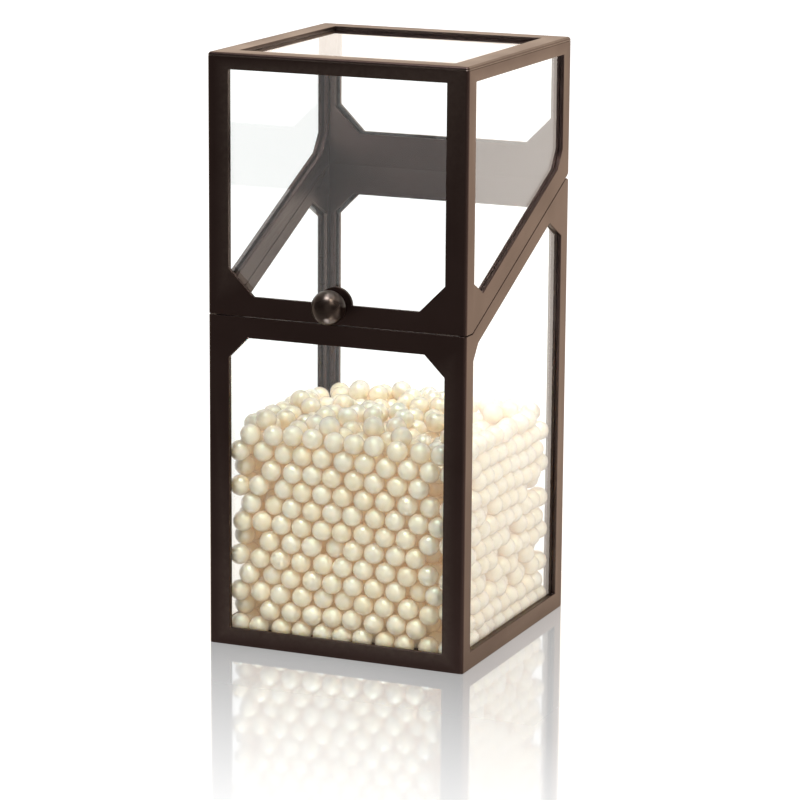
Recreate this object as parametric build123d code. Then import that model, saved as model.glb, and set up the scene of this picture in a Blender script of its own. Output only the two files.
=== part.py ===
from build123d import *
import math
import os

# A tall square box of glass panes in dark metal frames.  The base holds a bed of loose pearls.
# The lid is the upper, slant-cut part: it tips back on a hinge along the back wall.
# Millimetres.  X runs to the right, Y to the back, Z up.  The origin is the middle of the
# resting face.

# ---------------------------------------------------------------- the box as a whole
box_width = 100.0  # outside, left to right
box_depth = 100.0  # outside, front to back
box_height = 217.0  # resting face to the top of the lid
corner_radius = 1.2  # outside of every folded corner

# ---------------------------------------------------------------- one wall, from outside in
plate = 1.4  # outer frame plate
glass = 2.0  # pane, in the slot between the two frames
inner_plate = 1.4  # inner frame that keeps the pane in
pane_bite = 2.5  # how far a pane reaches behind the rails and stiles around its window
inner_set_back = 0.8  # edge of an inner frame's window behind that of the outer frame

# ---------------------------------------------------------------- the seam of lid and base
seam_height = 122.6  # along the front
seam_level_run = 6.3  # the seam stays level for this far back from the front face
seam_angle = 25.0  # its climb to the back
seam_gap = 0.3  # upright play between the two rims
lid_heel_radius = 4.0  # the lid's lower back corner, seen from the side
base_heel_radius = 2.6  # the base's upper back corner, seen from the side
rim_lip = 1.0  # the fold that closes the pane slot along each rim

# ---------------------------------------------------------------- windows
front_stile = 8.1  # upright strips of the front and back walls
side_stile = 7.4  # upright strips of the side walls
bottom_rail = 6.5
top_rail = 5.9  # under the lid's top face
top_face_rail = 8.5  # around the window in the top face
base_front_rail = 7.7  # under the seam
lid_front_rail = 7.4  # over the seam
base_side_rail = 6.2  # under the slanting seam, square to it
lid_side_rail = 7.8  # over the slanting seam, square to it
base_back_rail = 12.8  # under the hinge axis
lid_back_rail = 11.5  # over the hinge axis
base_gusset = 7.7  # leg of the corner gussets of the base's front and back windows
lid_gusset = 9.8  # leg of the corner gussets of the lid's front and back windows
base_side_back_gusset = 12.0
base_side_front_gusset = 4.5
lid_side_front_gusset = 8.4
lid_side_back_gusset = 4.8

# ---------------------------------------------------------------- floor and felt
felt = 0.8  # felt sheet glued under the floor
floor_plate = 1.4
floor_play = 0.1  # floor and felt to the frame plates

# ---------------------------------------------------------------- hinge
hinge_inset = 5.0  # each end of the leaves to the outside of the side walls
knuckle_count = 5  # odd, so that the base has both ends
knuckle_gap = 0.3
pin_diameter = 1.6
pin_play = 0.05  # pin to bore, on the radius
knuckle_wall = 0.75
hinge_back_inset = 0.1  # barrel to the outside of the back wall
hinge_play = 0.3  # barrel to what it turns in
leaf_height = 6.0
leaf_thickness = 0.7
pin_head = 0.6  # each peened end of the pin
pin_head_spread = 0.5

# ---------------------------------------------------------------- knob
knob_diameter = 12.4
knob_stand_off = 6.0  # centre of the ball to the front face
knob_height = 7.3  # centre of the ball over the seam
knob_tab_diameter = 12.8  # round tab of the front rail that carries the knob
screw_diameter = 3.0
screw_reach = 6.0  # into the ball
screw_head_diameter = 5.4
screw_head_height = 1.3
screw_notch_play = 0.6  # pane to the screw head, all round

# ---------------------------------------------------------------- bed of pearls
pearl_diameter = 7.8
pearl_gap = 0.1  # pearl to pearl and pearl to wall
bed_height = 75.5  # over the resting face, where the bed is lowest
swell_height = 7.0  # how much higher the bed is at the crown of its one low swell
swell_spread = 55.0
swell_right = -24.0  # crown to the middle of the box, along X
swell_back = -18.0  # crown to the middle of the box, along Y
pearl_groups = 4

# ---------------------------------------------------------------- worked out from the above
wall = plate + glass + inner_plate
half_width = box_width / 2
half_depth = box_depth / 2
slope = math.tan(math.radians(seam_angle))
slant = 1 / math.cos(math.radians(seam_angle))  # upright measure of a width square to the seam
bend_y = -half_depth + seam_level_run
floor_top = felt + floor_plate
lid_ceiling = box_height - wall
hinge_length = box_width - 2 * hinge_inset
barrel_radius = pin_diameter / 2 + pin_play + knuckle_wall
relief_radius = barrel_radius + hinge_play
hinge_y = half_depth - hinge_back_inset - barrel_radius
pearl_pitch = pearl_diameter + pearl_gap
FAR = 2 * (box_width + box_depth + box_height)


def seam_at(y):
    """Height of the seam's middle line at a distance y from the middle of the box."""
    return seam_height + max(0.0, y - bend_y) * slope


hinge_z = seam_at(hinge_y)
knob_z = seam_height + knob_height


# ---------------------------------------------------------------- building blocks
def upright_prism(points):
    """A prism over the plan points, taller than the box."""
    return Pos(0, 0, -FAR / 2) * extrude(make_face(Polyline(*points, close=True)), FAR)


def plan_prism(inset):
    """The box's plan, drawn in by inset, as a prism taller than the box."""
    width, depth = box_width - 2 * inset, box_depth - 2 * inset
    radius = corner_radius - inset
    plan = RectangleRounded(width, depth, radius) if radius > 0 else Rectangle(width, depth)
    return Pos(0, 0, -FAR / 2) * extrude(plan, FAR)


def ring(outer, inner):
    """What lies between two insets from the outside of the walls."""
    return plan_prism(outer) - plan_prism(inner)


def wall_zone(side):
    """The part of the plan that belongs to one wall, mitred at the corners."""
    w, d, m = half_width, half_depth, 2 * wall
    zones = {
        "front": ((-w, -d), (w, -d), (w - m, m - d), (m - w, m - d)),
        "back": ((w, d), (-w, d), (m - w, d - m), (w - m, d - m)),
        "left": ((-w, d), (-w, -d), (m - w, m - d), (m - w, d - m)),
        "right": ((w, -d), (w, d), (w - m, d - m), (w - m, m - d)),
    }
    return upright_prism(zones[side])


def side_slab(points, radius=0.0, heel=None):
    """A side outline (Y, Z) drawn across the whole width, with its heel corner rounded."""
    outline = make_face(Polyline(*points, close=True))
    if heel is not None:
        corner = outline.vertices().sort_by_distance((heel[0], heel[1], 0))[0]
        outline = fillet(corner, radius)
    return extrude(Plane.YZ * outline, FAR / 2, both=True)


def base_block(drop=0.0):
    """All that lies under the seam, its top lowered by drop."""
    shift = seam_gap / 2 + drop
    heel = (half_depth, seam_at(half_depth) - shift)
    points = (
        (-half_depth, 0),
        (half_depth, 0),
        heel,
        (bend_y, seam_height - shift),
        (-half_depth, seam_height - shift),
    )
    return side_slab(points, base_heel_radius, heel)


def lid_block(lift=0.0):
    """All that lies over the seam, its bottom raised by lift."""
    shift = seam_gap / 2 + lift
    heel = (half_depth, seam_at(half_depth) + shift)
    points = (
        (-half_depth, box_height),
        (half_depth, box_height),
        heel,
        (bend_y, seam_height + shift),
        (-half_depth, seam_height + shift),
    )
    return side_slab(points, lid_heel_radius, heel)


def level_slab(low, high):
    """Everything between two heights."""
    return Pos(0, 0, (low + high) / 2) * Box(FAR, FAR, high - low)


def hinge_rod(radius, length):
    """A rod about the hinge axis."""
    return Pos(0, hinge_y, hinge_z) * Rot(0, 90, 0) * Cylinder(radius, length)


def knob_rod(radius, near, far):
    """A rod about the knob's axis, between two distances behind the front face."""
    middle = -half_depth + (near + far) / 2
    return Pos(0, middle, knob_z) * Rot(90, 0, 0) * Cylinder(radius, far - near)


# ---------------------------------------------------------------- window outlines
def facing_outline(low, high, low_leg, high_leg, grow=0.0):
    """A window of a front or back wall (X, Z), with gussets of the given legs."""
    reach = half_width - front_stile + grow
    low, high = low - grow, high + grow
    points = [(-reach, high - high_leg), (-reach, low + low_leg)]
    if low_leg:
        points.append((low_leg - reach, low))
    points += [(reach - low_leg, low), (reach, low + low_leg)] if low_leg else [(reach, low)]
    points.append((reach, high - high_leg))
    if high_leg:
        points += [(reach - high_leg, high), (high_leg - reach, high)]
    return points


def slanted_edge(y, offset):
    """Height of a line alongside the slanting seam, offset square to it."""
    return seam_height + (y - bend_y) * slope + offset * slant


def base_side_outline(front_leg, back_leg, grow=0.0):
    """The window in a side wall of the base (Y, Z)."""
    front, back = side_stile - half_depth - grow, half_depth - side_stile + grow
    low = bottom_rail - grow
    offset = grow - base_side_rail
    points = [(back, low), (front, low)]
    front_top = slanted_edge(front, offset)
    back_top = slanted_edge(back, offset)
    points.append((front, front_top - front_leg * 0.8))
    if front_leg:
        points.append((front + front_leg, slanted_edge(front + front_leg, offset)))
    if back_leg:
        points.append((back - back_leg, slanted_edge(back - back_leg, offset)))
    points.append((back, back_top - back_leg))
    return points


def lid_side_outline(front_leg, back_leg, grow=0.0):
    """The window in a side wall of the lid (Y, Z)."""
    front, back = side_stile - half_depth - grow, half_depth - side_stile + grow
    high = box_height - top_rail + grow
    offset = lid_side_rail - grow
    points = [(front, high), (back, high)]
    points.append((back, slanted_edge(back, offset) + back_leg))
    if back_leg:
        points.append((back - back_leg, slanted_edge(back - back_leg, offset)))
    if front_leg:
        points.append((front + front_leg, slanted_edge(front + front_leg, offset)))
    points.append((front, slanted_edge(front, offset) + front_leg))
    return points


def through_wall(side, outline):
    """An outline drawn through one wall and well past both its faces."""
    face = make_face(Polyline(*outline, close=True))
    reach = 2 * wall
    if side in ("front", "back"):
        y = half_depth if side == "back" else -half_depth
        return Pos(0, y, 0) * extrude(Plane.XZ * face, reach, both=True)
    x = half_width if side == "right" else -half_width
    return Pos(x, 0, 0) * extrude(Plane.YZ * face, reach, both=True)


back_window_top = hinge_z - base_back_rail
back_window_bottom = hinge_z + lid_back_rail
base_front_top = seam_height - base_front_rail
lid_front_bottom = seam_height + lid_front_rail
lid_window_top = box_height - top_rail



def base_windows(side, grow=0.0):
    """The window in one wall of the base, made larger all round by grow."""
    if side == "front":
        return facing_outline(bottom_rail, base_front_top, 0, base_gusset, grow)
    if side == "back":
        return facing_outline(bottom_rail, back_window_top, 0, base_gusset, grow)
    return base_side_outline(base_side_front_gusset, base_side_back_gusset, grow)


def lid_windows(side, grow=0.0):
    """The window in one wall of the lid, made larger all round by grow."""
    if side == "front":
        return facing_outline(lid_front_bottom, lid_window_top, lid_gusset, 0, grow)
    if side == "back":
        return facing_outline(back_window_bottom, lid_window_top, lid_gusset, 0, grow)
    return lid_side_outline(lid_side_front_gusset, lid_side_back_gusset, grow)


base_panes = {
    "front": facing_outline(bottom_rail, base_front_top, 0, 0, pane_bite),
    "back": facing_outline(bottom_rail, back_window_top, 0, 0, pane_bite),
    "left": base_side_outline(0, 0, pane_bite),
    "right": base_side_outline(0, 0, pane_bite),
}
lid_panes = {
    "front": facing_outline(lid_front_bottom, lid_window_top, 0, 0, pane_bite),
    "back": facing_outline(back_window_bottom, lid_window_top, 0, 0, pane_bite),
    "left": lid_side_outline(0, 0, pane_bite),
    "right": lid_side_outline(0, 0, pane_bite),
}

plate_ring = ring(0, plate)
slot_ring = ring(plate, plate + glass)
inner_ring = ring(plate + glass, wall)
hinge_relief = hinge_rod(relief_radius, hinge_length + 2 * pin_head + 2 * hinge_play)
knob_tab = knob_rod(knob_tab_diameter / 2, -wall, 2 * wall)
screw_bore = knob_rod(screw_diameter / 2, -wall, plate)


# ---------------------------------------------------------------- walls
def frame_plate(side, body, rim, window):
    """The outer frame of one wall, with the fold that closes the pane slot at its rim."""
    zone = wall_zone(side)
    cutter = through_wall(side, window)
    if side == "front" and body is lid_body:
        cutter -= knob_tab
    piece = (plate_ring & zone & body) - cutter
    if side == "back":
        return piece - hinge_relief
    piece += slot_ring & zone & rim
    if side == "front" and body is lid_body:
        piece -= screw_bore
    return piece


def inner_frame(side, body, window):
    """The inner frame of one wall, which keeps the pane in."""
    cutter = through_wall(side, window)
    if side == "front" and body is lid_body:
        cutter -= knob_tab
    return (inner_ring & wall_zone(side) & body) - cutter - hinge_relief


def pane(side, outline):
    """The glass of one wall."""
    return slot_ring & through_wall(side, outline)


base_body = base_block()
base_rim = base_body - base_block(rim_lip)
base_inside = base_body & level_slab(floor_top, box_height)
lid_body = lid_block() & level_slab(0, box_height - plate)
lid_rim = lid_body - lid_block(rim_lip)
lid_inside = lid_body & level_slab(0, lid_ceiling)

parts = {}
for side in ("front", "back", "left", "right"):
    base_inner_window = base_windows(side, inner_set_back)
    lid_inner_window = lid_windows(side, inner_set_back)
    parts[f"base_{side}_frame"] = frame_plate(side, base_body, base_rim, base_windows(side))
    parts[f"base_{side}_inner_frame"] = inner_frame(side, base_inside, base_inner_window)
    parts[f"base_{side}_glass"] = pane(side, base_panes[side])
    parts[f"lid_{side}_frame"] = frame_plate(side, lid_body, lid_rim, lid_windows(side))
    parts[f"lid_{side}_inner_frame"] = inner_frame(side, lid_inside, lid_inner_window)
    parts[f"lid_{side}_glass"] = pane(side, lid_panes[side])

# The lid's front pane is notched at its lower edge for the head of the knob's screw.
notch_radius = screw_head_diameter / 2 + screw_notch_play
notch = knob_rod(notch_radius, 0, wall)
notch += Pos(0, -half_depth + wall / 2, knob_z - knob_tab_diameter / 2) * Box(
    2 * notch_radius, wall, knob_tab_diameter
)
parts["lid_front_glass"] -= notch

# ---------------------------------------------------------------- the lid's top face
top_window = Box(box_width - 2 * top_face_rail, box_depth - 2 * top_face_rail, FAR)
top_plate = extrude(RectangleRounded(box_width, box_depth, corner_radius), plate)
top_plate = fillet(top_plate.edges().group_by(Axis.Z)[-1], corner_radius)
parts["lid_top_frame"] = Pos(0, 0, box_height - plate) * top_plate - top_window

top_pane = Box(
    box_width - 2 * (top_face_rail - pane_bite), box_depth - 2 * (top_face_rail - pane_bite), glass
)
parts["lid_top_glass"] = Pos(0, 0, box_height - plate - glass / 2) * top_pane

keeper_inset = plate + glass  # the keeper lies between the panes of the walls
top_keeper = Box(box_width - 2 * keeper_inset, box_depth - 2 * keeper_inset, inner_plate)
top_keeper -= top_window
parts["lid_top_inner_frame"] = Pos(0, 0, lid_ceiling + inner_plate / 2) * top_keeper

# ---------------------------------------------------------------- floor and felt
floor_width = box_width - 2 * (plate + floor_play)
floor_depth = box_depth - 2 * (plate + floor_play)
parts["floor_plate"] = Pos(0, 0, felt + floor_plate / 2) * Box(
    floor_width, floor_depth, floor_plate
)
parts["underside_felt"] = Pos(0, 0, felt / 2) * Box(floor_width, floor_depth, felt)

# ---------------------------------------------------------------- hinge
knuckle_pitch = hinge_length / knuckle_count
leaf_face = half_depth - plate  # the leaves lie on the inside of the back plates


def hinge_leaf(first, upward):
    """A leaf with every second knuckle, counted from first; upward for the lid's leaf."""
    sign = 1 if upward else -1
    leaf_y = leaf_face - leaf_thickness / 2
    middle = hinge_z + sign * (relief_radius + leaf_height / 2)
    leaf = Pos(0, leaf_y, middle) * Box(hinge_length, leaf_thickness, leaf_height)
    neck_height = relief_radius + leaf_height / 2
    for index in range(first, knuckle_count, 2):
        x = (index + 0.5) * knuckle_pitch - hinge_length / 2
        length = knuckle_pitch - knuckle_gap
        neck = Box(length, leaf_thickness, neck_height)
        leaf += Pos(x, leaf_y, hinge_z + sign * neck_height / 2) * neck
        leaf += Pos(x, 0, 0) * hinge_rod(barrel_radius, length)
    return leaf - hinge_rod(pin_diameter / 2 + pin_play, FAR)


parts["hinge_base_leaf"] = hinge_leaf(0, False)
parts["hinge_lid_leaf"] = hinge_leaf(1, True)

pin = hinge_rod(pin_diameter / 2, hinge_length)
for end in (-1, 1):
    head_x = end * (hinge_length - knuckle_gap + pin_head) / 2
    pin += Pos(head_x, 0, 0) * hinge_rod(pin_diameter / 2 + pin_head_spread, pin_head)
parts["hinge_pin"] = pin

# ---------------------------------------------------------------- knob
ball = Pos(0, -half_depth - knob_stand_off, knob_z) * Sphere(knob_diameter / 2)
seat = Pos(0, -half_depth + FAR / 2, knob_z) * Box(FAR, FAR, FAR)
parts["knob"] = ball - seat - knob_rod(screw_diameter / 2, -screw_reach, 0)
parts["knob_screw"] = knob_rod(screw_diameter / 2, -screw_reach, plate) + knob_rod(
    screw_head_diameter / 2, plate, plate + screw_head_height
)


# ---------------------------------------------------------------- bed of pearls
def bed_top(x, y):
    """Height of the bed's top face, with its one low swell."""
    off = math.hypot(x - swell_right, y - swell_back)
    return bed_height + swell_height * math.exp(-((off / swell_spread) ** 2) / 2)


def row_count(inside):
    """How many pearls lie side by side across an inside width."""
    return int((inside - pearl_gap) / pearl_pitch)


def row_stagger(inside):
    """How far a row across an inside width is pushed aside of the middle, to either side."""
    free = inside - pearl_gap - row_count(inside) * pearl_pitch
    return min(free / 2, pearl_pitch / 4)


def pearl_row(inside, side):
    """Places of one row of pearls across an inside width, pushed to one side, 1 or -1."""
    start = -(row_count(inside) - 1) * pearl_pitch / 2 + side * row_stagger(inside)
    return [start + index * pearl_pitch for index in range(row_count(inside))]


def pearl_layers():
    """The pearls in square layers, each set aside of the last, that rise to the bed's top."""
    inside_width, inside_depth = box_width - 2 * wall, box_depth - 2 * wall
    aside = math.hypot(2 * row_stagger(inside_width), 2 * row_stagger(inside_depth))
    least_rise = math.sqrt(max(0.0, pearl_pitch**2 - aside**2))
    lowest = floor_top + pearl_gap + pearl_diameter / 2
    steps = int((bed_height - pearl_diameter / 2 - lowest) / least_rise)
    layers = []
    for step in range(steps + 1):
        side = 1 if step % 2 else -1
        pearls = []
        for x in pearl_row(inside_width, side):
            for y in pearl_row(inside_depth, side):
                rise = (bed_top(x, y) - pearl_diameter / 2 - lowest) / steps
                pearls.append(Pos(x, y, lowest + step * rise) * Sphere(pearl_diameter / 2))
        layers.append(pearls)
    return layers


layers = pearl_layers()
for group in range(pearl_groups):
    first = len(layers) * group // pearl_groups
    last = len(layers) * (group + 1) // pearl_groups
    pearls = [pearl for layer in layers[first:last] for pearl in layer]
    parts[f"pearls_{group + 1}"] = Compound(children=pearls)

# ---------------------------------------------------------------- write one file per piece
os.makedirs("parts", exist_ok=True)
for name, shape in parts.items():
    export_step(shape, f"parts/{name}.step")
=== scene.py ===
"""Looks of a tall glass box in dark bronze frames, with a hinged lid and a bed of pearls.

Metres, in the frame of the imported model: X to the right, Y to the back, Z up.
"""

import logging
import math
from dataclasses import dataclass
from enum import Enum

import bmesh
import bpy
import numpy as np
from mathutils import Matrix, Vector


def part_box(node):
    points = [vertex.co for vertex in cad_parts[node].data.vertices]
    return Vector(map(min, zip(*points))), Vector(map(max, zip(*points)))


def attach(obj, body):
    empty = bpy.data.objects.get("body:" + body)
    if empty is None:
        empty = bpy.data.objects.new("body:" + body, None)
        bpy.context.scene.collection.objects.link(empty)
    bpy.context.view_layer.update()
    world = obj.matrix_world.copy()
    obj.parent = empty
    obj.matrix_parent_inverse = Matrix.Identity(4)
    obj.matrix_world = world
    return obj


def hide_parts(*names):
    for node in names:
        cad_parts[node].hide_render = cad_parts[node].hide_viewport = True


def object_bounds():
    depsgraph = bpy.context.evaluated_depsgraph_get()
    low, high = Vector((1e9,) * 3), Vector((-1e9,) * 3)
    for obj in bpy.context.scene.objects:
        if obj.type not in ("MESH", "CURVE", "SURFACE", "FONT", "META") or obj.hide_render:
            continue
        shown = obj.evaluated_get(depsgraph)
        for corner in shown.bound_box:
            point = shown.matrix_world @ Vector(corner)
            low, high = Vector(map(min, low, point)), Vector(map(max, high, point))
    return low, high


LOG = logging.getLogger("glass_box")
MM = 0.001
Socket = bpy.types.NodeSocket

# How a copied solid is cleaned and softened
MERGE_DISTANCE = 1e-6
MITRE_SLACK = 2e-6
FLAT_ANGLE = math.radians(0.5)
SHARP_ANGLE = math.radians(38)
FLAT_FACE_WEIGHT = 90

PURE_WHITE = (1.0, 1.0, 1.0)

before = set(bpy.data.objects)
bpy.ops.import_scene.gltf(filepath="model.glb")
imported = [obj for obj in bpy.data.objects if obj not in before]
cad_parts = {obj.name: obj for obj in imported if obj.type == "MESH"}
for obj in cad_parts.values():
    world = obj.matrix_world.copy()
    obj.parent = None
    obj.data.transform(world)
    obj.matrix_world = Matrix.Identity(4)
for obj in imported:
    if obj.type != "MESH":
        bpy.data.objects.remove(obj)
cad_box = [list(corner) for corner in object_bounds()]


class Wall(Enum):
    """The four upright walls."""

    FRONT = "front"
    BACK = "back"
    LEFT = "left"
    RIGHT = "right"


class Body(Enum):
    """The two halves of the box, which are also the moving bodies."""

    BASE = "base"
    LID = "lid"


class Slot(Enum):
    """The finishes of the record."""

    FRAME = "frame_metal"
    GLASS = "clear_glass"
    HINGE = "hinge_metal"
    KNOB = "knob_metal"
    SCREW = "screw_steel"
    FELT = "felt"
    PEARL = "pearl"


# ---------------------------------------------------------------- shader helpers
class Tree:
    """A material's or world's node tree, with short calls for adding nodes."""

    # Sockets of the Mix node when it mixes colours: two in, one out
    FIRST_COLOUR, SECOND_COLOUR, MIXED_COLOUR = 6, 7, 2

    def __init__(self, owner: bpy.types.ID) -> None:
        """Empties the owner's node tree.

        Args:
            owner: a material or a world.
        """
        owner.use_nodes = True
        self.tree = owner.node_tree
        self.tree.nodes.clear()

    def node(self, kind: str, **settings: object) -> bpy.types.Node:
        """Adds a node.

        Args:
            kind: the node's type name.
            settings: attributes of the node.

        Returns:
            The new node.
        """
        made = self.tree.nodes.new(kind)
        for name, value in settings.items():
            setattr(made, name, value)
        return made

    def join(self, source: Socket, target: Socket) -> None:
        """Links two sockets."""
        self.tree.links.new(source, target)

    def feed(self, node: bpy.types.Node, values: dict) -> None:
        """Sets a node's inputs.

        Args:
            node: the node.
            values: a number, a tuple, a colour of three parts or a socket for each input.
        """
        for name, value in values.items():
            target = node.inputs[name]
            if isinstance(value, Socket):
                self.join(value, target)
            elif isinstance(value, tuple) and len(value) < len(target.default_value):
                target.default_value = (*value, 1.0)
            else:
                target.default_value = value

    def math(self, operation: str, first: float | Socket, second: float | Socket) -> Socket:
        """Adds a Math node.

        Args:
            operation: the node's operation.
            first: a number or a socket.
            second: a number or a socket.

        Returns:
            The node's output.
        """
        made = self.node("ShaderNodeMath", operation=operation)
        self.feed(made, {0: first, 1: second})
        return made.outputs[0]

    def noise(self, scale: float, detail: float = 3.0, roughness: float = 0.5) -> Socket:
        """Adds a noise on Object coordinates.

        Args:
            scale: how many features a metre.
            detail: octaves.
            roughness: weight of the finer octaves.

        Returns:
            The noise's value.
        """
        place = self.node("ShaderNodeTexCoord").outputs["Object"]
        made = self.node("ShaderNodeTexNoise")
        self.feed(made, {"Vector": place, "Scale": scale, "Detail": detail, "Roughness": roughness})
        return made.outputs[0]

    def spread(
        self, value: Socket, low: float, high: float, to_low: float, to_high: float
    ) -> Socket:
        """Maps a value from one range to another, clamped.

        Args:
            value: the socket to map.
            low: start of its range.
            high: end of its range.
            to_low: result at low.
            to_high: result at high.

        Returns:
            The mapped value.
        """
        made = self.node("ShaderNodeMapRange", clamp=True)
        self.feed(made, {"Value": value, "From Min": low, "From Max": high})
        self.feed(made, {"To Min": to_low, "To Max": to_high})
        return made.outputs["Result"]

    def vary(self, noise: Socket, to_low: float, to_high: float) -> Socket:
        """Maps a noise, which seldom leaves 0.3 to 0.7, to a range.

        Args:
            noise: the noise's value.
            to_low: result where it is low.
            to_high: result where it is high.

        Returns:
            The mapped value.
        """
        return self.spread(noise, 0.3, 0.7, to_low, to_high)

    def blend(self, share: Socket, first: tuple | Socket, second: tuple | Socket) -> Socket:
        """Mixes two colours.

        Args:
            share: 0 for the first colour, 1 for the second.
            first: a colour or a socket.
            second: a colour or a socket.

        Returns:
            The mixed colour.
        """
        made = self.node("ShaderNodeMix", data_type="RGBA")
        self.feed(made, {"Factor": share, self.FIRST_COLOUR: first, self.SECOND_COLOUR: second})
        return made.outputs[self.MIXED_COLOUR]

    def blend_shaders(
        self, share: Socket, first: bpy.types.Node, second: bpy.types.Node
    ) -> Socket:
        """Mixes two shaders.

        Args:
            share: 0 for the first shader, 1 for the second.
            first: a shader node.
            second: a shader node.

        Returns:
            The mixed shader.
        """
        made = self.node("ShaderNodeMixShader")
        self.feed(made, {0: share, 1: first.outputs[0], 2: second.outputs[0]})
        return made.outputs[0]

    def gated(self, gate: Socket, value: Socket) -> Socket:
        """Lets a factor work only where a gate is open.

        Args:
            gate: 1 where it is open, 0 where it is shut.
            value: the factor.

        Returns:
            The factor where the gate is open, and 1 where it is shut.
        """
        change = self.math("SUBTRACT", value, 1.0)
        return self.math("ADD", 1.0, self.math("MULTIPLY", gate, change))

    def bump(self, height: Socket, strength: float, distance: float) -> Socket:
        """Turns a height into a normal.

        Args:
            height: the height, 0 to 1.
            strength: how much of it shows.
            distance: the height's size in metres.

        Returns:
            The normal.
        """
        made = self.node("ShaderNodeBump")
        self.feed(made, {"Height": height, "Strength": strength, "Distance": distance})
        return made.outputs["Normal"]


def new_finish(name: str) -> tuple:
    """Starts a material with one Principled shader.

    Args:
        name: the material's name.

    Returns:
        The material, its tree and the shader.
    """
    made = bpy.data.materials.new(name)
    tree = Tree(made)
    skin = tree.node("ShaderNodeBsdfPrincipled")
    out = tree.node("ShaderNodeOutputMaterial")
    tree.join(skin.outputs[0], out.inputs["Surface"])
    return made, tree, skin


# ---------------------------------------------------------------- finishes
@dataclass(frozen=True)
class Lacquer:
    """Dark bronze lacquer: nearly black head on, warm and paler at a slant, with paler edges that
    are partly rubbed wear and partly a painted highlight.

    The scales are features a metre. The edge values are how pointed the surface is.
    """

    name: str
    dark: tuple = (0.0400, 0.0235, 0.0215)
    light: tuple = (0.0455, 0.0275, 0.0255)
    # Paler colour of pointed edges: partly rubbed wear, partly a painted highlight of bright edge
    # lines.
    worn_and_highlit: tuple = (0.42, 0.36, 0.31)
    tint: tuple = (1.0, 0.86, 0.74)
    shine: float = 0.36
    shine_spread: float = 0.04
    body: float = 0.75
    gloss: float = 0.5
    mottle_scale: float = 90.0
    smear_scale: float = 50.0
    rub_and_highlight_scale: float = 420.0
    rub_and_highlight_depth: float = 0.9
    edge_start: float = 0.56
    edge_full: float = 0.75
    most_worn_and_highlit: float = 0.5

    def material(self) -> bpy.types.Material:
        """Builds the material: mottled colour and shine, and paler edges, partly wear and partly a
        painted highlight.

        Returns:
            The material.
        """
        made, tree, skin = new_finish(self.name)
        mottle = tree.vary(tree.noise(self.mottle_scale, detail=1.5, roughness=0.4), 0.0, 1.0)
        colour = tree.blend(mottle, self.dark, self.light)
        # Painted highlight along pointed edges, broken up by noise; partly also rubbed wear.
        edge = tree.node("ShaderNodeNewGeometry").outputs["Pointiness"]
        bared_and_highlit = tree.spread(edge, self.edge_start, self.edge_full, 0.0, self.most_worn_and_highlit)
        wear_and_highlight_noise = tree.noise(self.rub_and_highlight_scale, detail=5.0, roughness=0.7)
        wear_and_highlight = tree.math("MULTIPLY", bared_and_highlit, tree.math("MULTIPLY", wear_and_highlight_noise, self.rub_and_highlight_depth))
        smear = tree.noise(self.smear_scale, detail=1.5, roughness=0.4)
        glossiest, dullest = self.shine - self.shine_spread, self.shine + self.shine_spread
        values = {
            "Base Color": tree.blend(wear_and_highlight, colour, self.worn_and_highlit),
            "Roughness": tree.vary(smear, glossiest, dullest),
            "Metallic": self.body,
            "Specular IOR Level": self.gloss,
            "Specular Tint": self.tint,
        }
        tree.feed(skin, values)
        return made


@dataclass(frozen=True)
class Pane:
    """Clear float glass that lets the lamps through, with a trace of green."""

    name: str
    tint: tuple = (0.982, 0.994, 0.988)
    index: float = 1.5

    def material(self) -> bpy.types.Material:
        """Builds the material: glass to the eye, and a clear tint to the lamps.

        Returns:
            The material.
        """
        made = bpy.data.materials.new(self.name)
        tree = Tree(made)
        glass = tree.node("ShaderNodeBsdfPrincipled")
        tree.feed(glass, {"Base Color": self.tint, "IOR": self.index, "Roughness": 0.0})
        tree.feed(glass, {"Transmission Weight": 1.0})
        clear = tree.node("ShaderNodeBsdfTransparent")
        tree.feed(clear, {"Color": self.tint})
        lamplight = tree.node("ShaderNodeLightPath").outputs["Is Shadow Ray"]
        out = tree.node("ShaderNodeOutputMaterial")
        tree.join(tree.blend_shaders(lamplight, glass, clear), out.inputs["Surface"])
        return made


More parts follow.
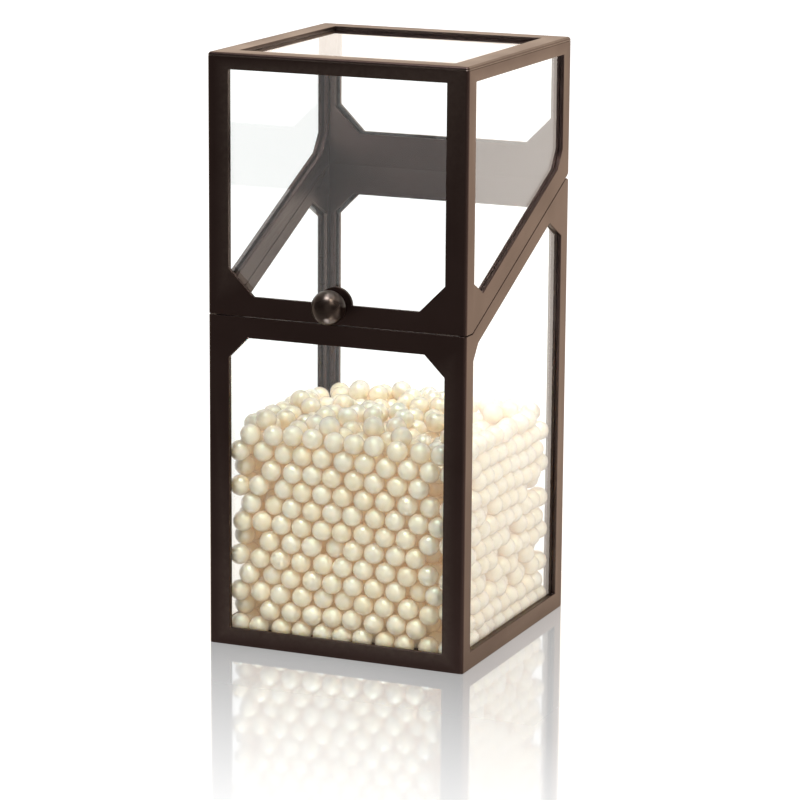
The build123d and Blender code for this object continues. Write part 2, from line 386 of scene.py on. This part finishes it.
@dataclass(frozen=True)
class Nacre:
    """Ivory pearl lacquer under a thin clear film, each pearl a little unlike the next, with a faint
    painted glow that lifts the shade between pearls.

    The film is in nanometres and the depth, how far each colour of light spreads, in millimetres.
    """

    name: str
    cream: tuple = (0.97, 0.81, 0.60)
    ivory: tuple = (0.98, 0.87, 0.73)
    cloud_scale: float = 600.0
    cloud_depth: float = 0.25
    satin_scale: float = 900.0
    smoothest: float = 0.30
    roughest: float = 0.38
    gleam: float = 0.5
    film: float = 430.0
    film_index: float = 1.6
    glow: float = 0.7
    depth: tuple = (3.0, 2.6, 2.0)
    lustre: float = 1.9
    polish: float = 0.09
    rim: tuple = (1.0, 0.80, 0.55)
    rim_strength: float = 0.5
    rim_blur: float = 0.6
    # Painted glow: a faint warm emission lifts the shade between the pearls, though they are no
    # lamp.
    painted_glow_colour: tuple = (1.0, 0.80, 0.51)
    painted_glow_strength: float = 0.06

    def material(self) -> bpy.types.Material:
        """Builds the material.

        Returns:
            The material.
        """
        made, tree, skin = new_finish(self.name)
        pearl = tree.node("ShaderNodeNewGeometry").outputs["Random Per Island"]
        cloud = tree.vary(tree.noise(self.cloud_scale), -self.cloud_depth, self.cloud_depth)
        shade = tree.math("ADD", pearl, cloud)
        satin = tree.noise(self.satin_scale)
        values = {
            "Base Color": tree.blend(shade, self.cream, self.ivory),
            "Roughness": tree.spread(satin, 0.35, 0.65, self.smoothest, self.roughest),
            "Specular IOR Level": self.gleam,
            "Sheen Weight": self.rim_strength,
            "Sheen Roughness": self.rim_blur,
            "Sheen Tint": self.rim,
            "Thin Film Thickness": self.film,
            "Thin Film IOR": self.film_index,
            "Coat Weight": 1.0,
            "Coat IOR": self.lustre,
            "Coat Roughness": self.polish,
            # Painted glow: faint warm emission that brightens the shaded crevices between pearls.
            "Emission Color": self.painted_glow_colour,
            "Emission Strength": self.painted_glow_strength,
            "Subsurface Weight": self.glow,
            "Subsurface Radius": self.depth,
            "Subsurface Scale": MM,
        }
        tree.feed(skin, values)
        return made


@dataclass(frozen=True)
class Pile:
    """Black felt with a fine uneven nap."""

    name: str
    dark: tuple = (0.012, 0.011, 0.011)
    light: tuple = (0.045, 0.042, 0.040)
    nap_scale: float = 3200.0
    nap_height: float = 0.3 * MM
    nap_strength: float = 0.9
    smoothest: float = 0.85
    sheen: float = 0.6
    sheen_blur: float = 0.5
    gleam: float = 0.1

    def material(self) -> bpy.types.Material:
        """Builds the material.

        Returns:
            The material.
        """
        made, tree, skin = new_finish(self.name)
        nap = tree.noise(self.nap_scale, detail=6.0, roughness=0.75)
        values = {
            "Base Color": tree.blend(nap, self.dark, self.light),
            "Normal": tree.bump(nap, self.nap_strength, self.nap_height),
            "Roughness": tree.spread(nap, 0.0, 1.0, self.smoothest, 1.0),
            "Sheen Weight": self.sheen,
            "Sheen Roughness": self.sheen_blur,
            "Specular IOR Level": self.gleam,
        }
        tree.feed(skin, values)
        return made


@dataclass(frozen=True)
class Steel:
    """Plain turned steel, stained here and there."""

    name: str
    colour: tuple = (0.56, 0.55, 0.53)
    stain_scale: float = 900.0
    stain_depth: float = 0.7
    smoothest: float = 0.22
    roughest: float = 0.4

    def material(self) -> bpy.types.Material:
        """Builds the material.

        Returns:
            The material.
        """
        made, tree, skin = new_finish(self.name)
        stained = tuple(self.stain_depth * part for part in self.colour)
        stain = tree.noise(self.stain_scale, detail=4.0, roughness=0.6)
        values = {
            "Base Color": tree.blend(stain, stained, self.colour),
            "Roughness": tree.vary(stain, self.smoothest, self.roughest),
            "Metallic": 1.0,
        }
        tree.feed(skin, values)
        return made


class Finishes:
    """One material per slot of the record."""

    def __init__(self) -> None:
        """Builds them all."""
        knob = Lacquer(
            "knob_lacquer",
            dark=(0.020, 0.011, 0.009),
            light=(0.030, 0.016, 0.012),
            worn_and_highlit=(0.06, 0.04, 0.03),
            shine=0.29,
            body=0.5,
            gloss=0.8,
        )
        self.by_slot = {
            Slot.FRAME: Lacquer("frame_lacquer").material(),
            Slot.GLASS: Pane("pane_glass").material(),
            Slot.HINGE: Lacquer("hinge_lacquer", shine=0.4, worn_and_highlit=(0.22, 0.17, 0.12)).material(),
            Slot.KNOB: knob.material(),
            Slot.SCREW: Steel("screw_steel").material(),
            Slot.FELT: Pile("felt_pile").material(),
            Slot.PEARL: Nacre("pearl_nacre").material(),
        }

    def dress(self, piece: bpy.types.Object, slot: Slot) -> None:
        """Gives a piece the material of its slot.

        Args:
            piece: the object.
            slot: its finish.
        """
        piece.data.materials.clear()
        piece.data.materials.append(self.by_slot[slot])


# ---------------------------------------------------------------- mesh helpers
def new_piece(name: str, shape: bmesh.types.BMesh, smooth: bool = True) -> bpy.types.Object:
    """Makes an object of a bmesh and frees it.

    Args:
        name: the object's name.
        shape: the mesh, already in place.
        smooth: whether its faces are shaded smooth.

    Returns:
        The object, in the scene.
    """
    for face in shape.faces:
        face.smooth = smooth
    mesh = bpy.data.meshes.new(name)
    shape.to_mesh(mesh)
    shape.free()
    piece = bpy.data.objects.new(name, mesh)
    bpy.context.scene.collection.objects.link(piece)
    return piece


def plan_corner() -> Vector:
    """The upper, right-hand, back corner of the lid's top frame."""
    return Vector(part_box("lid_top_frame")[1])


def worked_copy(
    node: str, name: str, softening: float, mitred: bool = False, steps: int = 2
) -> bpy.types.Object:
    """Copies a CAD node with its sharp edges rounded off, as on real sheet and glass.

    Args:
        node: the node.
        name: the new piece's name.
        softening: width of the rounded edges.
        mitred: whether the edges of the corner mitres stay sharp, so that walls meet flush.
        steps: how many faces a rounded edge has.

    Returns:
        The piece, which replaces the node.
    """
    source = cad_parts[node]
    shape = bmesh.new()
    shape.from_mesh(source.data)
    bmesh.ops.remove_doubles(shape, verts=shape.verts, dist=MERGE_DISTANCE)
    bmesh.ops.dissolve_limit(
        shape, angle_limit=FLAT_ANGLE, verts=shape.verts, edges=shape.edges
    )
    corner = plan_corner()

    def on_mitre(vert: bmesh.types.BMVert) -> bool:
        """True where a vertex lies on the upright plane of a corner mitre."""
        from_side, from_front = corner.x - abs(vert.co.x), corner.y - abs(vert.co.y)
        return abs(from_side - from_front) < MITRE_SLACK

    sharp = []
    for edge in shape.edges:
        creased = len(edge.link_faces) == 2 and edge.calc_face_angle(0.0) >= SHARP_ANGLE
        kept_sharp = mitred and all(on_mitre(vert) for vert in edge.verts)
        if creased and not kept_sharp:
            sharp.append(edge)
    bmesh.ops.bevel(
        shape,
        geom=sharp,
        offset=softening,
        offset_type="OFFSET",
        affect="EDGES",
        segments=steps,
        profile=0.5,
        material=-1,
        clamp_overlap=True,
    )
    piece = new_piece(name, shape)
    weigh = piece.modifiers.new("flat_faces", "WEIGHTED_NORMAL")
    weigh.keep_sharp = True
    weigh.weight = FLAT_FACE_WEIGHT
    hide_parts(node)
    return piece


# ---------------------------------------------------------------- walls
@dataclass
class WallSet:
    """The frames and panes of the four walls of one body."""

    body: Body
    finishes: Finishes
    sheet_edge: float = 0.24 * MM
    inner_edge: float = 0.24 * MM
    pane_edge: float = 0.2 * MM

    def build(self) -> None:
        """Makes every wall of the body."""
        for wall in Wall:
            self.wall(wall)

    def wall(self, wall: Wall) -> None:
        """Makes one wall's outer frame, inner frame and pane.

        Args:
            wall: which wall.
        """
        stem = f"{self.body.value}_{wall.value}"
        pieces = (
            (f"{stem}_frame", self.sheet_edge, Slot.FRAME, True),
            (f"{stem}_inner_frame", self.inner_edge, Slot.FRAME, True),
            (f"{stem}_glass", self.pane_edge, Slot.GLASS, False),
        )
        for node, edge, slot, mitred in pieces:
            piece = worked_copy(node, f"{node}_finished", edge, mitred)
            self.finishes.dress(piece, slot)
            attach(piece, self.body.value)
            LOG.info("%s made from %s", piece.name, node)


@dataclass
class TopFace:
    """The window in the lid's top face."""

    finishes: Finishes
    edge: float = 0.3 * MM

    def build(self) -> None:
        """Makes the top frame, its inner frame and its pane."""
        for node, slot in (
            ("lid_top_frame", Slot.FRAME),
            ("lid_top_inner_frame", Slot.FRAME),
            ("lid_top_glass", Slot.GLASS),
        ):
            piece = worked_copy(node, f"{node}_finished", self.edge)
            self.finishes.dress(piece, slot)
            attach(piece, Body.LID.value)
            LOG.info("%s made from %s", piece.name, node)


@dataclass
class Underside:
    """The floor plate and the felt under it."""

    finishes: Finishes
    edge: float = 0.25 * MM

    def build(self) -> None:
        """Makes both sheets."""
        for node, slot in (("floor_plate", Slot.FRAME), ("underside_felt", Slot.FELT)):
            piece = worked_copy(node, f"{node}_finished", self.edge)
            self.finishes.dress(piece, slot)
            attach(piece, Body.BASE.value)
            LOG.info("%s made from %s", piece.name, node)


@dataclass
class Hinge:
    """Two leaves with rolled knuckles and a peened pin."""

    finishes: Finishes
    edge: float = 0.12 * MM

    def build(self) -> None:
        """Makes the three pieces."""
        for node, body in (
            ("hinge_base_leaf", Body.BASE),
            ("hinge_lid_leaf", Body.LID),
            ("hinge_pin", Body.BASE),
        ):
            piece = worked_copy(node, f"{node}_finished", self.edge)
            self.finishes.dress(piece, Slot.HINGE)
            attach(piece, body.value)
            LOG.info("%s made from %s", piece.name, node)


# ---------------------------------------------------------------- knob
@dataclass
class Knob:
    """A turned ball on the lid's front rail, and the screw that holds it."""

    finishes: Finishes
    rings: int = 40
    sectors: int = 64
    screw_edge: float = 0.25 * MM

    def build(self) -> None:
        """Makes the ball and the screw."""
        low, high = (Vector(corner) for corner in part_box("knob"))
        radius = (high.z - low.z) / 2
        centre = Vector((0.0, low.y + radius, (low.z + high.z) / 2))
        shape = bmesh.new()
        bmesh.ops.create_uvsphere(
            shape, u_segments=self.sectors, v_segments=self.rings, radius=radius
        )
        bmesh.ops.rotate(
            shape, verts=shape.verts, cent=(0, 0, 0), matrix=Matrix.Rotation(math.pi / 2, 3, "X")
        )
        bmesh.ops.translate(shape, verts=shape.verts, vec=centre)
        cut = bmesh.ops.bisect_plane(
            shape,
            geom=[*shape.verts, *shape.edges, *shape.faces],
            plane_co=(0, high.y, 0),
            plane_no=(0, 1, 0),
            clear_outer=True,
        )
        rim = [item for item in cut["geom_cut"] if isinstance(item, bmesh.types.BMEdge)]
        bmesh.ops.contextual_create(shape, geom=rim)
        bmesh.ops.recalc_face_normals(shape, faces=shape.faces)
        ball = new_piece("knob_ball", shape)
        self.finishes.dress(ball, Slot.KNOB)
        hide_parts("knob")
        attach(ball, Body.LID.value)
        screw = worked_copy("knob_screw", "knob_screw_finished", self.screw_edge)
        self.finishes.dress(screw, Slot.SCREW)
        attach(screw, Body.LID.value)
        LOG.info("knob ball of %.1f mm at height %.1f mm", 2 * radius / MM, centre.z / MM)


# ---------------------------------------------------------------- bed of pearls
@dataclass
class PearlBed:
    """Loose pearls, poured in and settled: close rows along the glass, and an uneven top.

    The bed starts as layers of pearls, shaken out of their places, with strays poured on top. Then
    overlapping pearls push each other apart in rounds while the strays sink.
    """

    finishes: Finishes
    radius: float = 3.9 * MM
    size_spread: float = 0.02
    across: int = 11
    layers: int = 12
    swell: float = 7.0 * MM
    swell_spread: float = 55.0 * MM
    swell_right: float = -24.0 * MM
    swell_back: float = -18.0 * MM
    wall_jitter: float = 1.4 * MM
    core_jitter: float = 1.4 * MM
    upright_jitter: float = 0.6
    loosened: float = 0.1
    drawn_in: float = 0.96
    strays: int = 44
    stray_reach: float = 0.9
    stray_lift: float = 1.2
    settle_rounds: int = 300
    regroup_rounds: int = 12
    passes: int = 2
    push: float = 0.3
    near: float = 1.2 * MM
    sinking: float = 0.06 * MM
    block: int = 256
    ball_cuts: int = 3
    ball_evenness: float = 0.98
    seed: int = 7
    groups: int = 4

    def __post_init__(self) -> None:
        """Measures the inside of the base."""
        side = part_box("base_left_inner_frame")[1][0]
        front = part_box("base_front_inner_frame")[1][1]
        self.half = np.array((-side, -front))
        self.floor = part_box("floor_plate")[1][2]
        self.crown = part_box(f"pearls_{self.groups}")[1][2]

    def top(self, place: np.ndarray) -> np.ndarray:
        """Height of the bed's top at places in plan, with its one low swell.

        Args:
            place: X and Y of each place.

        Returns:
            The heights.
        """
        off = np.hypot(place[:, 0] - self.swell_right, place[:, 1] - self.swell_back)
        return self.crown - self.swell * (1 - np.exp(-((off / self.swell_spread) ** 2) / 2))

    def layer(self, index: int) -> list:
        """One layer of pearls.

        Along the walls, the pearls of odd layers stand over the gaps of even ones. Inside, every
        layer is spread evenly. The corners of odd layers lie against one wall or the other by turns.

        Args:
            index: the layer's number from the floor.

        Returns:
            X, Y, the layer, and whether the pearl touches a side wall and a front or back wall.
        """
        odd = index % 2 == 1
        reach_x, reach_y = self.half - self.radius
        grids, evens = [], []
        for reach in (reach_x, reach_y):
            stops = np.linspace(-reach, reach, self.across)
            grids.append((stops[1:] + stops[:-1]) / 2 if odd else stops)
            evens.append(np.linspace(-reach, reach, len(grids[-1])))
        ends = (0, len(grids[0]) - 1)
        rows = []
        for i, x in enumerate(grids[0]):
            for j, y in enumerate(grids[1]):
                at_side, at_front = i in ends, j in ends
                if odd and at_side and at_front:
                    at_side, at_front = index % 4 == 1, index % 4 == 3
                x_set = math.copysign(reach_x, x) if at_side else x
                y_set = math.copysign(reach_y, y) if at_front else y
                if not (at_side or at_front):
                    x_set, y_set = evens[0][i], evens[1][j]
                rows.append((x_set, y_set, index, at_side, at_front))
        return rows

    def places(self) -> tuple:
        """Pours the pearls and lets them settle.

        Returns:
            Their centres and radii, as arrays.
        """
        random = np.random.default_rng(self.seed)
        rows = np.array([row for index in range(self.layers) for row in self.layer(index)])
        centre = rows[:, :3].copy()
        step = rows[:, 2] / (self.layers - 1)
        lowest = self.floor + self.radius
        centre[:, 2] = lowest + step * (self.top(centre) - self.radius - lowest)
        held = rows[:, 3:] > 0
        loose = random.uniform(0, 1, len(rows)) < self.loosened
        held[loose] = False
        centre[loose, :2] *= self.drawn_in
        jitter = np.where(held.any(axis=1), self.wall_jitter, self.core_jitter)
        shares = np.array((1, 1, self.upright_jitter))
        centre += random.uniform(-1, 1, centre.shape) * jitter[:, None] * shares
        spots = random.uniform(-self.stray_reach, self.stray_reach, (self.strays, 2))
        plan = spots * (self.half - self.radius)
        above = self.top(plan) + self.stray_lift * self.radius
        centre = np.vstack((centre, np.column_stack((plan, above))))
        held = np.vstack((held, np.zeros((self.strays, 2), dtype=bool)))
        upper = np.arange(len(centre)) >= len(rows)
        radius = self.radius * (1 - random.uniform(0.0, self.size_spread, len(centre)))
        return self.settle(centre, radius, held, upper), radius

    def settle(
        self, centre: np.ndarray, radius: np.ndarray, held: np.ndarray, upper: np.ndarray
    ) -> np.ndarray:
        """Pushes overlapping pearls apart and lets the upper ones sink to rest.

        Args:
            centre: their centres.
            radius: their radii.
            held: which pearls stay against a side wall, and against a front or back wall.
            upper: which pearls sink.

        Returns:
            The settled centres.
        """
        limit = self.half[None, :] - radius[:, None]
        for turn in range(self.settle_rounds):
            if turn % self.regroup_rounds == 0:
                first, second = self.neighbours(centre)
            centre[upper, 2] -= self.sinking * (1 - turn / self.settle_rounds)
            for _ in range(self.passes):
                gap = centre[second] - centre[first]
                length = np.linalg.norm(gap, axis=1)
                overlap = radius[first] + radius[second] - length
                hit = overlap > 0
                push = gap[hit] / length[hit][:, None] * (self.push * overlap[hit])[:, None]
                np.add.at(centre, first[hit], -push)
                np.add.at(centre, second[hit], push)
                plan = centre[:, :2]
                against = np.sign(plan) * limit
                centre[:, :2] = np.where(held, against, np.clip(plan, -limit, limit))
                centre[:, 2] = np.maximum(centre[:, 2], self.floor + radius)
        return centre

    def neighbours(self, centre: np.ndarray) -> tuple:
        """Pairs of pearls near enough to touch soon.

        Args:
            centre: their centres.

        Returns:
            Two arrays of indices.
        """
        reach = 2 * self.radius + self.near
        pairs = []
        for start in range(0, len(centre), self.block):
            part = centre[start : start + self.block]
            away = np.linalg.norm(part[:, None, :] - centre[None, :, :], axis=2)
            near = np.argwhere(away < reach)
            near[:, 0] += start
            pairs.append(near[near[:, 0] < near[:, 1]])
        joined = np.concatenate(pairs)
        return joined[:, 0], joined[:, 1]

    def ball(self) -> tuple:
        """One pearl: a cube with its edges cut up, blown up to a sphere.

        Returns:
            Its points and its faces.
        """
        shape = bmesh.new()
        bmesh.ops.create_cube(shape, size=2.0)
        bmesh.ops.subdivide_edges(
            shape, edges=shape.edges, cuts=self.ball_cuts, use_grid_fill=True
        )
        for vert in shape.verts:
            turns = [math.pi / 4 * part * self.ball_evenness for part in vert.co]
            vert.co = Vector(math.tan(turn) for turn in turns).normalized()
        points = np.array([vert.co[:] for vert in shape.verts])
        faces = [[vert.index for vert in face.verts] for face in shape.faces]
        shape.free()
        return points, np.array(faces)

    def build(self) -> None:
        """Makes the pearls, in as many pieces as the model has groups of them."""
        centre, radius = self.places()
        points, faces = self.ball()
        random = np.random.default_rng(self.seed + 1)
        order = np.argsort(centre[:, 2])
        for group, share in enumerate(np.array_split(order, self.groups)):
            clouds = []
            for index in share:
                turn = Matrix.Rotation(random.uniform(0, math.tau), 3, random.normal(size=3))
                clouds.append(points @ np.array(turn).T * radius[index] + centre[index])
            node = f"pearls_{group + 1}"
            mesh = bpy.data.meshes.new(f"{node}_loose")
            corners = faces[None, :, :] + (np.arange(len(share)) * len(points))[:, None, None]
            mesh.from_pydata(
                np.concatenate(clouds).tolist(), [], corners.reshape(-1, 4).tolist()
            )
            mesh.shade_smooth()
            piece = bpy.data.objects.new(f"{node}_loose", mesh)
            bpy.context.scene.collection.objects.link(piece)
            self.finishes.dress(piece, Slot.PEARL)
            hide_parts(node)
            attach(piece, Body.BASE.value)
            LOG.info("%d pearls in %s", len(share), piece.name)


# ---------------------------------------------------------------- studio
@dataclass(frozen=True)
class Lamp:
    """A square soft lamp. One with gloss_only shows in shiny surfaces and lights nothing else."""

    name: str
    place: tuple
    size: float
    power: float
    colour: tuple
    gloss_only: bool = False

    def hang(self, aim: Vector) -> None:
        """Puts the lamp in the scene.

        Args:
            aim: the point that it faces.
        """
        data = bpy.data.lights.new(self.name, "AREA")
        data.shape = "SQUARE"
        data.size = self.size
        data.energy = self.power
        data.color = self.colour
        lamp = bpy.data.objects.new(self.name, data)
        bpy.context.scene.collection.objects.link(lamp)
        lamp.visible_diffuse = not self.gloss_only
        facing = (aim - Vector(self.place)).to_track_quat("-Z", "Y").to_matrix().to_4x4()
        lamp.matrix_world = Matrix.Translation(self.place) @ facing


COOL, WHITE, WARM = (0.93, 0.96, 1.0), (1.0, 0.97, 0.92), (1.0, 0.93, 0.83)
LAMPS = (
    Lamp("overhead", (-0.15, -0.3, 1.35), 0.4, 2.8, COOL),
    Lamp("front_warm", (0.75, -0.75, 1.06), 0.22, 1.6, WARM),
    Lamp("side_warm", (1.0, -0.58, 0.96), 0.16, 1.1, WARM),
    Lamp("fill", (0.62, -1.5, 0.6), 1.2, 1.7, WHITE),
    Lamp("shine_overhead", (-0.05, -0.34, 1.4), 0.45, 19.0, COOL, gloss_only=True),
    Lamp("shine_right", (0.56, -0.4, 1.3), 0.28, 8.0, WARM, gloss_only=True),
)


@dataclass
class Studio:
    """Camera, lamps, pale floor and white surroundings.

    Shiny surfaces reflect the room by halves: gloomy in front of the box and ablaze behind it and
    to its right, which keeps the front dark and the right side pale. Ends are places on X or Y.
    """

    azimuth: float = 23.14
    elevation: float = 12.51
    roll: float = 0.41
    distance: float = 1.325
    aim_right: float = 0.00348
    aim_height: float = 0.08545
    focal: float = 161.8
    sensor: float = 36.0
    nearest: float = 0.05
    farthest: float = 60.0
    ambient: float = 0.21
    front_gloom: float = 0.16
    back_blaze: float = 1.5
    room_ends: tuple = (-0.2, 0.4)
    floor_half: float = 8.0
    floor_glow: float = 1.15
    floor_grey: tuple = (0.36, 0.36, 0.36)
    floor_grey_mirrored: tuple = (0.12, 0.12, 0.12)
    floor_gloom: float = 0.22
    floor_front_ends: tuple = (-0.25, 0.0)
    floor_blaze: float = 1.7
    floor_side_ends: tuple = (0.04, 0.06)
    warmth: tuple = (1.0, 0.89, 0.79)
    mirror: float = 0.7
    mirror_fade: float = 0.25
    mirror_blur: float = 0.06
    light_bounces: int = 12

    def build(self) -> None:
        """Sets everything up."""
        self.camera()
        self.world()
        self.floor()
        for lamp in LAMPS:
            lamp.hang(Vector((0.0, 0.0, self.aim_height)))
        scene = bpy.context.scene
        scene.view_settings.view_transform = "Standard"
        scene.cycles.diffuse_bounces = self.light_bounces
        scene.cycles.max_bounces = 2 * self.light_bounces
        scene.cycles.transmission_bounces = 2 * self.light_bounces

    def camera(self) -> None:
        """Places the camera at the viewing angle of the photograph."""
        turn, lift = math.radians(self.azimuth), math.radians(self.elevation)
        right = Vector((math.cos(turn), math.sin(turn), 0.0))
        aim = right * self.aim_right + Vector((0.0, 0.0, self.aim_height))
        away = Vector(
            (math.sin(turn) * math.cos(lift), -math.cos(turn) * math.cos(lift), math.sin(lift))
        )
        lens = bpy.data.cameras.new("camera")
        lens.lens = self.focal
        lens.sensor_width = self.sensor
        lens.clip_start = self.nearest
        lens.clip_end = self.farthest
        camera = bpy.data.objects.new("camera", lens)
        bpy.context.scene.collection.objects.link(camera)
        facing = away.to_track_quat("Z", "Y").to_matrix().to_4x4()
        tilt = Matrix.Rotation(math.radians(self.roll), 4, "Z")
        camera.matrix_world = Matrix.Translation(aim + away * self.distance) @ facing @ tilt
        bpy.context.scene.camera = camera

    def seen(self, tree: Tree) -> Socket:
        """Tells rays that show the surroundings from rays that carry their light.

        Args:
            tree: the tree to add the nodes to.

        Returns:
            1 from the camera, off gloss and through glass, and 0 past a matt surface.
        """
        rays = tree.node("ShaderNodeLightPath").outputs
        shiny = tree.math("MAXIMUM", rays["Is Glossy Ray"], rays["Is Transmission Ray"])
        shown = tree.math("MAXIMUM", rays["Is Camera Ray"], shiny)
        return tree.math("MULTIPLY", shown, tree.spread(rays["Diffuse Depth"], 0.0, 1.0, 1.0, 0.0))

    def reflected(self, tree: Tree) -> Socket:
        """Tells rays that come off a shiny surface from those that went through glass.

        Args:
            tree: the tree to add the nodes to.

        Returns:
            1 for reflected rays, and 0 for all others.
        """
        rays = tree.node("ShaderNodeLightPath").outputs
        through = tree.math("SUBTRACT", 1.0, rays["Is Transmission Ray"])
        return tree.math("MULTIPLY", rays["Is Glossy Ray"], through)

    def axes(self, tree: Tree, source: str) -> bpy.types.NodeOutputs:
        """Splits a coordinate into its axes.

        Args:
            tree: the tree to add the nodes to.
            source: which output of Texture Coordinate.

        Returns:
            The outputs X, Y and Z.
        """
        place = tree.node("ShaderNodeTexCoord").outputs[source]
        parts = tree.node("ShaderNodeSeparateXYZ")
        tree.join(place, parts.inputs[0])
        return parts.outputs

    def world(self) -> None:
        """White where it is seen, softer as a light, and dimmer where the front reflects it."""
        world = bpy.data.worlds.new("studio")
        bpy.context.scene.world = world
        tree = Tree(world)
        out = tree.node("ShaderNodeOutputWorld")
        glow = tree.node("ShaderNodeBackground")
        way = self.axes(tree, "Generated")
        seen = tree.spread(self.seen(tree), 0.0, 1.0, self.ambient, 1.0)
        shiny = self.reflected(tree)
        room = tree.spread(way["Y"], *self.room_ends, self.front_gloom, self.back_blaze)
        strength = tree.math("MULTIPLY", seen, tree.gated(shiny, room))
        colour = tree.blend(shiny, PURE_WHITE, self.warmth)
        tree.feed(glow, {"Strength": strength, "Color": colour})
        tree.join(glow.outputs[0], out.inputs["Surface"])

    def floor(self) -> None:
        """A pale floor with a faint mirror image that fades away from the box."""
        shape = bmesh.new()
        bmesh.ops.create_grid(shape, x_segments=1, y_segments=1, size=self.floor_half)
        floor = new_piece("floor", shape, smooth=False)
        material = bpy.data.materials.new("pale_floor")
        tree = Tree(material)
        out = tree.node("ShaderNodeOutputMaterial")
        place = self.axes(tree, "Object")
        shiny = self.reflected(tree)
        matt = tree.node("ShaderNodeBsdfDiffuse")
        tree.feed(matt, {"Color": tree.blend(shiny, self.floor_grey, self.floor_grey_mirrored)})
        ahead = tree.spread(place["Y"], *self.floor_front_ends, self.floor_gloom, 1.0)
        aside = tree.spread(place["X"], *self.floor_side_ends, 1.0, self.floor_blaze)
        room = tree.math("MULTIPLY", ahead, aside)
        shown = tree.math("MULTIPLY", self.seen(tree), self.floor_glow)
        strength = tree.math("MULTIPLY", shown, tree.gated(shiny, room))
        glow = tree.node("ShaderNodeEmission")
        tree.feed(glow, {"Strength": strength, "Color": tree.blend(shiny, PURE_WHITE, self.warmth)})
        pale = tree.node("ShaderNodeAddShader")
        tree.feed(pale, {0: matt.outputs[0], 1: glow.outputs[0]})
        gloss = tree.node("ShaderNodeBsdfGlossy")
        tree.feed(gloss, {"Roughness": self.mirror_blur})
        spans = [tree.math("ABSOLUTE", place[axis], 0.0) for axis in ("X", "Y")]
        off = tree.math("SUBTRACT", tree.math("MAXIMUM", *spans), cad_box[1][0])
        sheen = tree.spread(off, 0.0, self.mirror_fade, self.mirror, 0.0)
        tree.join(tree.blend_shaders(sheen, pale, gloss), out.inputs["Surface"])
        floor.data.materials.append(material)


def main() -> None:
    """Builds the box, piece by piece, and the studio round it."""
    logging.basicConfig(level=logging.INFO, format="%(message)s")
    finishes = Finishes()
    for body in Body:
        WallSet(body, finishes).build()
    TopFace(finishes).build()
    Underside(finishes).build()
    Hinge(finishes).build()
    Knob(finishes).build()
    PearlBed(finishes).build()
    Studio().build()


if __name__ == "__main__":
    main()
